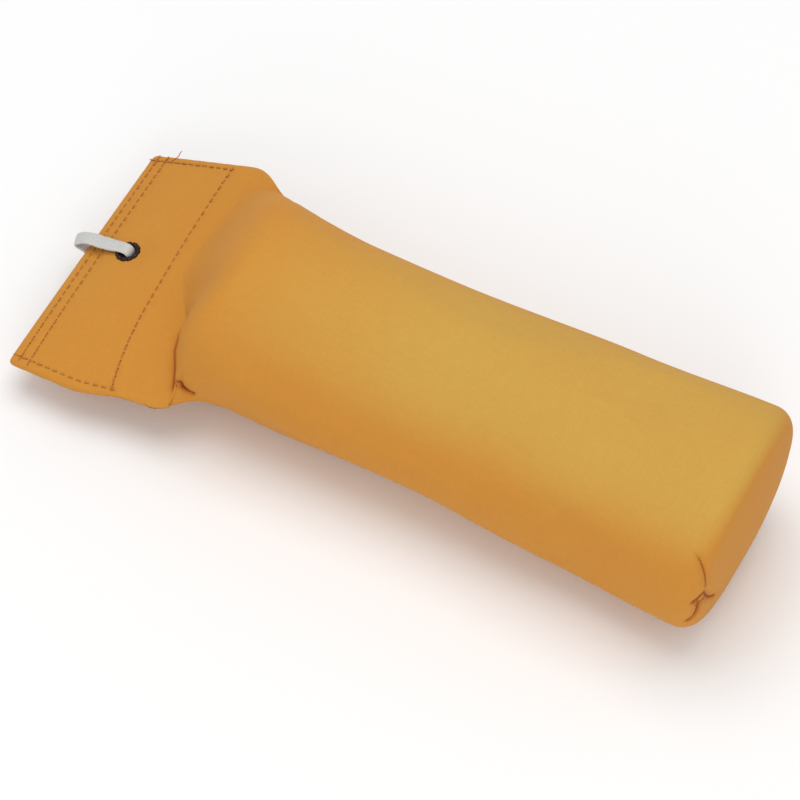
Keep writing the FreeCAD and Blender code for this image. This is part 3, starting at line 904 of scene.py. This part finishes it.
def makeStitchTree():
    tree = bpy.data.node_groups.new("stitchRow", "GeometryNodeTree")
    floats = [(name, "NodeSocketFloat") for name in ("Pitch", "Length", "Width", "Rise", "Uneven")]
    sockets(tree, [("Geometry", "NodeSocketGeometry")] + floats
            + [("Seed", "NodeSocketInt"), ("Material", "NodeSocketMaterial")])
    sockets(tree, [("Geometry", "NodeSocketGeometry")], True)
    given = tree.nodes.new("NodeGroupInput")
    made = tree.nodes.new("NodeGroupOutput")
    curve = tree.nodes.new("GeometryNodeMeshToCurve")
    resample = tree.nodes.new("GeometryNodeResampleCurve")
    resample.mode = "LENGTH"
    ball = tree.nodes.new("GeometryNodeMeshUVSphere")
    ball.inputs["Segments"].default_value = 8
    ball.inputs["Rings"].default_value = 5
    ball.inputs["Radius"].default_value = 0.5
    size = tree.nodes.new("ShaderNodeCombineXYZ")
    shape = tree.nodes.new("GeometryNodeTransform")
    smoothNode = tree.nodes.new("GeometryNodeSetShadeSmooth")
    tangent = tree.nodes.new("GeometryNodeInputTangent")
    lift = tree.nodes.new("GeometryNodeInputNamedAttribute")
    lift.data_type = "FLOAT_VECTOR"
    lift.inputs["Name"].default_value = "lift"
    turn = tree.nodes.new("FunctionNodeAxesToRotation")
    turn.primary_axis = "Z"
    turn.secondary_axis = "X"
    place = tree.nodes.new("GeometryNodeInstanceOnPoints")
    uneven = tree.nodes.new("FunctionNodeRandomValue")
    uneven.data_type = "FLOAT_VECTOR"
    least = tree.nodes.new("ShaderNodeMath")
    least.operation = "SUBTRACT"
    least.inputs[0].default_value = 1.0
    real = tree.nodes.new("GeometryNodeRealizeInstances")
    finish = tree.nodes.new("GeometryNodeSetMaterial")
    join = tree.links.new
    join(given.outputs["Geometry"], curve.inputs["Mesh"])
    join(curve.outputs["Curve"], resample.inputs["Curve"])
    join(given.outputs["Pitch"], resample.inputs["Length"])
    join(given.outputs["Length"], size.inputs["X"])
    join(given.outputs["Width"], size.inputs["Y"])
    join(given.outputs["Rise"], size.inputs["Z"])
    join(ball.outputs["Mesh"], smoothNode.inputs["Geometry"])
    join(smoothNode.outputs["Geometry"], shape.inputs["Geometry"])
    join(size.outputs["Vector"], shape.inputs["Scale"])
    join(lift.outputs["Attribute"], turn.inputs["Primary Axis"])
    join(tangent.outputs["Tangent"], turn.inputs["Secondary Axis"])
    join(given.outputs["Uneven"], least.inputs[1])
    join(least.outputs[0], uneven.inputs["Min"])
    uneven.inputs["Max"].default_value = (1.0, 1.0, 1.0)
    join(given.outputs["Seed"], uneven.inputs["Seed"])
    join(resample.outputs["Curve"], place.inputs["Points"])
    join(shape.outputs["Geometry"], place.inputs["Instance"])
    join(turn.outputs["Rotation"], place.inputs["Rotation"])
    join(uneven.outputs["Value"], place.inputs["Scale"])
    join(place.outputs["Instances"], real.inputs["Geometry"])
    join(real.outputs["Geometry"], finish.inputs["Geometry"])
    join(given.outputs["Material"], finish.inputs["Material"])
    join(finish.outputs["Geometry"], made.inputs["Geometry"])
    return tree


stitchTree = makeStitchTree()


def sewLine(name, points, lifts, sizes, material, seed):
    # stitches along a line, as a plain mesh
    start = link(name + "Line", lineMesh(name + "Line", points, lifts))
    modifier = start.modifiers.new("stitches", "NODES")
    modifier.node_group = stitchTree
    values = {"Pitch": sizes["pitch"] * mm, "Length": sizes["length"] * mm, "Width": sizes["width"] * mm,
              "Rise": sizes["rise"] * mm, "Uneven": sizes["uneven"], "Seed": seed, "Material": material}
    for item in stitchTree.interface.items_tree:
        if item.in_out == "INPUT" and item.name in values:
            modifier[item.identifier] = values[item.name]
    bpy.context.view_layer.update()
    done = start.evaluated_get(bpy.context.evaluated_depsgraph_get())
    made = bpy.data.meshes.new_from_object(done)
    made.name = name
    bpy.data.objects.remove(start)
    return made


def joinMeshes(name, parts, materials):
    # one mesh from (mesh, material number) pairs
    whole = bmesh.new()
    for part, number in parts:
        first = len(whole.faces)
        whole.from_mesh(part)
        whole.faces.ensure_lookup_table()
        for face in whole.faces[first:]:
            face.material_index = number
        bpy.data.meshes.remove(part)
    made = bpy.data.meshes.new(name)
    whole.to_mesh(made)
    whole.free()
    for material in materials:
        made.materials.append(material)
    return made


def makeThread(name, colour, dark):
    material, tree, shader = newMaterial(name, colour, 0.7)
    place = tree.nodes.new("ShaderNodeTexCoord")
    twist = tree.nodes.new("ShaderNodeTexWave")
    twist.bands_direction = "DIAGONAL"
    twist.inputs["Scale"].default_value = 900.0
    twist.inputs["Distortion"].default_value = 0.6
    tree.links.new(place.outputs["Object"], twist.inputs["Vector"])
    wear = useGroup(tree, handling, {"Size": 300.0, "Amount": 1.0})
    twisted = mathNode(tree, "MULTIPLY", twist.outputs["Fac"], 0.7)
    tint = mathNode(tree, "ADD", twisted, wear.outputs["Specks"])
    tree.links.new(mixColour(tree, tint, dark, colour), shader.inputs["Base Color"])
    bumpFrom(tree, shader, twist.outputs["Fac"], 0.5, 0.08)
    return material


thread = makeThread("sewingThread", (0.56, 0.22, 0.036), (0.42, 0.145, 0.022))
# dark blobs between the stitches are painted shade standing in for the needle holes
needleHoleShade = newMaterial("needleHoleShade", (0.22, 0.065, 0.011), 0.95)[0]
threadNodes = {"hemThread1": "hem_stitches_outer", "hemThread2": "hem_stitches_inner",
               "crossThread": "cross_stitches", "nearThread": "side_stitches_near",
               "farThread": "side_stitches_far"}
stitchSize = {"pitch": stitching["pitch"], "length": stitching["length"], "width": stitching["width"],
              "rise": stitching["rise"] * 2, "uneven": 0.12}
holeSize = {"pitch": stitching["pitch"], "length": 0.8, "width": 0.62, "rise": 0.16, "uneven": 0.2}
for seed, (name, line) in enumerate(rowLines.items()):
    parts = []
    for side in (1, -1):
        placed = [surfacePoint(s, y, side) for s, y in line]
        points, lifts = [p for p, n in placed], [n for p, n in placed]
        parts.append((sewLine(name, points, lifts, stitchSize, thread, seed), 0))
        # painted needle-hole shade, half a stitch along from each stitch
        along = (points[-1] - points[0]).normalized() * stitching["pitch"] / 2
        between = [p + along for p in points[:-1]]
        parts.append((sewLine(name + "Hole", between, lifts[:-1], holeSize, needleHoleShade, seed), 1))
    row = bpy.data.objects.new(name, joinMeshes(name, parts, [thread, needleHoleShade]))
    bpy.context.scene.collection.objects.link(row)
    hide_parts(threadNodes[name])
    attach(row, "header")
print("stitches")


# Eyelet: a blackened ring and its washer, turned about the axis that the loop swivels on
eye = {
    "bore": 2.75, "barrel": 3.15, "flange": 4.7, "rise": 0.9,
    "washer": 0.5, "roll": 0.4,
    "around": 132, "segments": 11,
    "notchDepth": 0.4, "notchWidth": 0.09,     # the flange splits into short segments as it is set
}
eyeFrame = Matrix.Translation(Vector((hemX + eyeS, eyeY, eyeZ))) @ Matrix.Rotation(-eyeTilt, 4, "Y")


def turned(name, profile, notch):
    # closed ring from (radius, height) points, notched where its height is above the given one
    made = bmesh.new()
    rings = []
    for n in range(eye["around"]):
        angle = 2 * math.pi * n / eye["around"]
        segment = 2 * math.pi / eye["segments"]
        toNotch = abs((angle / segment + 0.5) % 1.0 - 0.5) * segment
        cut = math.exp(-(toNotch / eye["notchWidth"]) ** 2)
        ring = []
        for radius, height in profile:
            inCut = cut if notch is not None and height > notch else 0.0
            r = radius - inCut * eye["notchDepth"] * (0.6 if radius > eye["barrel"] + 0.6 else 0.0)
            z = height - inCut * eye["notchDepth"]
            place = eyeFrame @ Vector((r * math.cos(angle), r * math.sin(angle), z))
            ring.append(made.verts.new(place * mm))
        rings.append(ring)
    for n, ring in enumerate(rings):
        after = rings[(n + 1) % len(rings)]
        for k in range(len(profile)):
            m = (k + 1) % len(profile)
            made.faces.new((ring[k], after[k], after[m], ring[m]))
    bmesh.ops.recalc_face_normals(made, faces=made.faces)
    mesh = bpy.data.meshes.new(name)
    made.to_mesh(mesh)
    made.free()
    return mesh


def flangeProfile():
    ply = header["halfThick"]
    top = ply + eye["rise"]
    points = [(eye["bore"], -ply - eye["washer"] - eye["roll"] * 0.5)]
    for n in range(5):           # rolled end under the washer
        a = math.pi * n / 4
        r = (eye["bore"] + eye["barrel"] + 0.7) / 2 - (eye["barrel"] + 0.7 - eye["bore"]) / 2 * math.cos(a)
        points.append((r, -ply - eye["washer"] - 0.02 - eye["roll"] * math.sin(a)))
    points += [(eye["barrel"], -ply - eye["washer"]), (eye["barrel"], ply - 0.35),
               (eye["flange"] - 0.15, ply - 0.35)]
    for n in range(9):           # domed flange
        a = math.pi * n / 8
        middle = (eye["flange"] + eye["bore"]) / 2
        points.append((middle + (eye["flange"] - eye["bore"]) / 2 * math.cos(a),
                       ply - 0.2 + (top - ply + 0.2) * math.sin(a) ** 0.8))
    return points


def washerProfile():
    ply = header["halfThick"]
    inner, outer, back = eye["barrel"] + 0.1, eye["flange"], -ply - eye["washer"]
    return [(inner, -ply + 0.3), (outer - 0.1, -ply + 0.3), (outer, -ply - 0.1), (outer - 0.25, back),
            (inner, back)]


def makeBlackened():
    material, tree, shader = newMaterial("blackenedMetal", (0.045, 0.026, 0.02), 0.42)
    wear = useGroup(tree, handling, {"Size": 260.0, "Amount": 1.6})
    worn = mathNode(tree, "ADD", 0.25, wear.outputs["Patches"])
    colour = mixColour(tree, worn, (0.022, 0.012, 0.010), (0.10, 0.055, 0.042))
    tree.links.new(colour, shader.inputs["Base Color"])
    tree.links.new(mathNode(tree, "ADD", 0.38, wear.outputs["Specks"]), shader.inputs["Roughness"])
    shader.inputs["Metallic"].default_value = 0.75
    bumpFrom(tree, shader, wear.outputs["Specks"], 0.25, 0.08)
    return material


blackened = makeBlackened()
ring = link("eyeletRing", turned("eyeletRing", flangeProfile(), header["halfThick"] + 0.25), blackened)
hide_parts("eyelet")
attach(ring, "header")
washer = link("eyeletBack", turned("eyeletBack", washerProfile(), None), blackened)
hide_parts("eyelet_washer")
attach(washer, "header")
print("eyelet")

# Tape loop: through the bore, over the header, round the hem and back
tape = {
    "width": 5.5, "thick": 1.05,
    "reach": 23.0,           # the eyelet's axis to the outside of the bend
    "top": 3.3, "under": -3.75,
    "slant": 0.4,            # the bend at the far end lies aslant
    "steps": 150,
    "ribs": 7, "ribHeight": 0.07,
    "overlapFrom": -15.0, "overlapTo": -5.5,
}


def throughPoints(points, count, closed):
    # smooth line through the given points, evenly spaced
    ends = points if closed else [points[0]] + points + [points[-1]]
    line = []
    total = len(points) if closed else len(points) - 1
    for n in range(total):
        if closed:
            a, b, c, d = (np.array(ends[(n + k - 1) % len(ends)]) for k in range(4))
        else:
            a, b, c, d = (np.array(ends[n + k]) for k in range(4))
        for t in np.linspace(0, 1, 24, endpoint=False):
            line.append(0.5 * (2 * b + (c - a) * t + (2 * a - 5 * b + 4 * c - d) * t ** 2
                               + (3 * b - a - 3 * c + d) * t ** 3))
    line.append(line[0] if closed else np.array(points[-1]))
    line = np.array(line)
    run = np.append(0, np.cumsum(np.linalg.norm(np.diff(line, axis=0), axis=1)))
    even = np.linspace(0, run[-1], count + 1)
    out = np.stack([np.interp(even, run, line[:, n]) for n in range(line.shape[1])], 1)
    return (out[:-1] if closed else out), run[-1]


def tapeMesh(name, points, count, closed, thick):
    # flat ribbed tape along a side view of (along, up) points in the eyelet's frame
    line, length = throughPoints(points, count, closed)
    around = 28
    made = bmesh.new()
    flat = made.loops.layers.uv.new("clothMm")
    rings = []
    places = []
    for n, (u, w) in enumerate(line):
        if closed:
            before, after = line[n - 1], line[(n + 1) % len(line)]
        else:
            before, after = line[max(n - 1, 0)], line[min(n + 1, len(line) - 1)]
        run = (after - before) / max(np.linalg.norm(after - before), 1e-6)
        out = np.array([-run[1], run[0]])
        travelled = length * n / count
        # it gathers a little where it passes the bore, and wanders elsewhere
        pinch = 1.0 - 0.14 * math.exp(-(u / 5.0) ** 2)
        sway = 0.10 * math.sin(travelled * 0.42) + 0.05 * math.sin(travelled * 1.1 + 1.0)
        sway *= 1.0 - math.exp(-(u / 3.0) ** 2)
        ring = []
        for k in range(around):
            a = 2 * math.pi * k / around
            c, q = math.cos(a), math.sin(a)
            across = tape["width"] / 2 * pinch * math.copysign(abs(c) ** 0.55, c)
            up = thick / 2 * math.copysign(abs(q) ** 0.75, q)
            rib = tape["ribHeight"] * math.cos(across / tape["width"] * 2 * math.pi * tape["ribs"])
            rib *= (0.6 + 0.4 * math.cos(travelled * 2 * math.pi / 1.1 + across))
            up += math.copysign(rib, q) * abs(q)
            up += 0.12 * math.sin(travelled * 0.3) * (across / tape["width"])
            slant = -tape["slant"] * across * float(smooth((-u - 15.0) / 6.0))
            place = eyeFrame @ Vector((u + out[0] * up + slant, across + sway, w + out[1] * up))
            ring.append(made.verts.new(place * mm))
            places.append((travelled, across if q >= 0 else tape["width"] * 1.2 - across))
        rings.append(ring)
    total = len(rings) if closed else len(rings) - 1
    for n in range(total):
        m = (n + 1) % len(rings)
        for k in range(around):
            j = (k + 1) % around
            face = made.faces.new((rings[n][k], rings[n][j], rings[m][j], rings[m][k]))
            for corner, (row, column) in zip(face.loops, ((n, k), (n, j), (m, j), (m, k))):
                along, across = places[row * around + column]
                if row == m and m < n:
                    along = length
                corner[flat].uv = (along, across)
    if not closed:
        made.faces.new(rings[0])
        made.faces.new(rings[-1])
    bmesh.ops.recalc_face_normals(made, faces=made.faces)
    mesh = bpy.data.meshes.new(name)
    made.to_mesh(mesh)
    made.free()
    return mesh


def makeTape():
    material, tree, shader = newMaterial("cottonTape", (0.78, 0.78, 0.76), 0.85)
    flat = tree.nodes.new("ShaderNodeUVMap")
    flat.uv_map = "clothMm"
    cloth = useGroup(tree, weave, {"Place": flat.outputs[0], "Thread": 0.42, "Slub": 0.35})
    wear = useGroup(tree, handling, {"Size": 140.0, "Amount": 1.2})
    shade = mathNode(tree, "ADD", mathNode(tree, "MULTIPLY", cloth.outputs["Shade"], 1.1),
                     mathNode(tree, "MULTIPLY", wear.outputs["Specks"], 0.8))
    colour = mixColour(tree, shade, (0.50, 0.51, 0.50), (0.84, 0.84, 0.83))
    grubby = mathNode(tree, "ADD", 0.15, wear.outputs["Patches"])
    tree.links.new(mixColour(tree, grubby, colour, (0.66, 0.62, 0.56)), shader.inputs["Base Color"])
    shader.inputs["Specular IOR Level"].default_value = 0.25
    bumpFrom(tree, shader, cloth.outputs["Height"], 0.6, 0.14)
    return material


top, below, reach = tape["top"], tape["under"], tape["reach"]
loopLine = [(1.1, 0.0), (0.95, 1.8), (0.1, 3.0), (-2.2, top), (-8.0, top - 0.15), (-14.0, top - 0.15),
            (-17.6, top - 0.3), (-20.6, 2.0), (-reach + 0.5, 0.9), (-reach, 0.1), (-reach + 0.8, -0.8),
            (-20.3, -1.8), (-17.4, below + 0.35), (-14.5, below + 0.1), (-8.0, below), (-2.6, below + 0.1),
            (-0.3, -2.9), (0.7, -1.7)]
cottonTape = makeTape()
loop = link("loopTape", tapeMesh("loopTape", loopLine, tape["steps"], True, tape["thick"]), cottonTape)
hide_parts("loop_tape")
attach(loop, "loop")
under = tape["under"] - tape["thick"]
overlapLine = [(tape["overlapFrom"], under + 0.1), (-12.0, under), (-8.5, under),
               (tape["overlapTo"], under + 0.1)]
overlapMesh = tapeMesh("loopOverlap", overlapLine, 30, False, tape["thick"] * 0.95)
overlap = link("loopOverlap", overlapMesh, cottonTape)
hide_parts("loop_overlap")
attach(overlap, "loop")


def bartack():
    # zigzag bars of thread that hold the overlap
    white = makeThread("whiteThread", (0.72, 0.72, 0.70), (0.50, 0.50, 0.48))
    size = {"pitch": 0.62, "length": 0.95, "width": 0.42, "rise": 0.34, "uneven": 0.1}
    lift = (eyeFrame.to_3x3() @ Vector((0, 0, -1))).normalized()
    parts = []
    for n in range(4):
        along = mix(tape["overlapFrom"] + 1.4, tape["overlapTo"] - 1.4, n / 3)
        points = []
        for y in np.linspace(-tape["width"] * 0.44, tape["width"] * 0.44, 12):
            points.append(eyeFrame @ Vector((along, y, under - tape["thick"] * 0.5)))
        parts.append((sewLine("bar%d" % n, points, [lift] * len(points), size, white, n), 0))
    return joinMeshes("loopBartack", parts, [white])


bars = bpy.data.objects.new("loopBartack", bartack())
bpy.context.scene.collection.objects.link(bars)
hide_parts("loop_bartack")
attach(bars, "loop")
print("tape loop")

# Loose end of thread at the far corner of the hem
tail = {
    "points": [(7.6, 50.4, 0.15), (8.6, 51.6, 0.35), (9.6, 52.4, 0.9), (9.7, 52.7, 2.0), (10.5, 53.0, 3.1)],
    "radius": 0.16,
}


def threadTail():
    curve = bpy.data.curves.new("threadTail", "CURVE")
    curve.dimensions = "3D"
    curve.bevel_depth = tail["radius"] * mm
    curve.bevel_resolution = 2
    curve.use_fill_caps = True
    spline = curve.splines.new("NURBS")
    spline.points.add(len(tail["points"]) - 1)
    for point, (s, y, up) in zip(spline.points, tail["points"]):
        z = float(headerZ(np.float64(s), np.float64(y))) + header["halfThick"] + up
        point.co = ((hemX + s) * mm, y * mm, z * mm, 1.0)
    spline.order_u = 3
    spline.use_endpoint_u = True
    start = bpy.data.objects.new("threadTailCurve", curve)
    bpy.context.scene.collection.objects.link(start)
    bpy.context.view_layer.update()
    made = bpy.data.meshes.new_from_object(start.evaluated_get(bpy.context.evaluated_depsgraph_get()))
    bpy.data.objects.remove(start)
    return made


loose = link("threadTail", threadTail(), thread)
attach(loose, "header")


# The CAD pieces that stay, all of them inside the cover
innerThread = makeThread("innerThread", (0.50, 0.20, 0.035), (0.36, 0.12, 0.02))
allowanceCloth = newMaterial("allowanceCloth", canvasLook["orange"], 0.88)


def finishAllowance():
    material, tree, shader = allowanceCloth
    place = tree.nodes.new("ShaderNodeTexCoord")
    scale = tree.nodes.new("ShaderNodeVectorMath")
    scale.operation = "SCALE"
    scale.inputs["Scale"].default_value = 1000.0
    tree.links.new(place.outputs["Object"], scale.inputs[0])
    woven = {"Place": scale.outputs[0], "Thread": canvasLook["thread"], "Slub": canvasLook["slub"]}
    cloth = useGroup(tree, weave, woven)
    tint = mathNode(tree, "MULTIPLY", cloth.outputs["Shade"], 0.8)
    colour = mixColour(tree, tint, (0.50, 0.20, 0.03), canvasLook["orange"])
    tree.links.new(colour, shader.inputs["Base Color"])
    bumpFrom(tree, shader, cloth.outputs["Height"], 0.4, 0.12)


finishAllowance()
keptNodes = {"seam_allowance": allowanceCloth[0], "seam_stitches": innerThread,
             "base_seam_stitches": innerThread}
for name, material in keptNodes.items():
    piece = bpy.data.objects[name]
    if not piece.material_slots:
        piece.data.materials.append(material)
    for slot in piece.material_slots:
        slot.material = material
print("inner pieces")


# Camera, light and floor
view = {"azimuth": 29.0, "elevation": 54.0, "distance": 1092.0, "lens": 144.0, "aim": (135.05, -8.2, 30.0)}


def makeCamera():
    az, el = math.radians(view["azimuth"]), math.radians(view["elevation"])
    aim = Vector(((hemX + view["aim"][0]) * mm, view["aim"][1] * mm, view["aim"][2] * mm))
    back = Vector((math.sin(az) * math.cos(el), -math.cos(az) * math.cos(el), math.sin(el)))
    camera = bpy.data.objects.new("camera", bpy.data.cameras.new("camera"))
    bpy.context.scene.collection.objects.link(camera)
    camera.location = aim + back * view["distance"] * mm
    camera.rotation_euler = back.to_track_quat("Z", "Y").to_euler()
    camera.data.lens = view["lens"]
    camera.data.sensor_width = 36.0
    camera.data.clip_start = 0.01
    bpy.context.scene.camera = camera


def makeLight(name, energy, place, size):
    data = bpy.data.lights.new(name, "AREA")
    data.energy = energy
    data.shape = "DISK"
    data.size = size
    light = bpy.data.objects.new(name, data)
    light.location = place
    light.rotation_euler = (Vector(place) - Vector((0, 0, 0.03))).to_track_quat("Z", "Y").to_euler()
    bpy.context.scene.collection.objects.link(light)


studio = {
    "lights": {"overhead": (6.2, (-0.1, 0.15, 1.2), 1.0), "front": (3.35, (0.6, -0.95, 0.65), 0.8)},
    "world": 0.62, "paper": 0.95, "paperRoughness": 0.9, "floorReach": 3.0,
}
makeCamera()
for name, (energy, place, size) in studio["lights"].items():
    makeLight(name, energy, place, size)
world = bpy.data.worlds.new("studio")
world.use_nodes = True
world.node_tree.nodes["Background"].inputs["Color"].default_value = (1, 1, 1, 1)
world.node_tree.nodes["Background"].inputs["Strength"].default_value = studio["world"]
bpy.context.scene.world = world

floorMesh = bpy.data.meshes.new("floor")
reach = studio["floorReach"]
floorMesh.from_pydata([(-reach, -reach, 0), (reach, -reach, 0), (reach, reach, 0), (-reach, reach, 0)], [],
                      [(0, 1, 2, 3)])
floor = bpy.data.objects.new("floor", floorMesh)
bpy.context.scene.collection.objects.link(floor)
paper = bpy.data.materials.new("paper")
paper.use_nodes = True
paperShader = paper.node_tree.nodes["Principled BSDF"]
paperShader.inputs["Base Color"].default_value = (studio["paper"], studio["paper"], studio["paper"], 1)
paperShader.inputs["Roughness"].default_value = studio["paperRoughness"]
floorMesh.materials.append(paper)
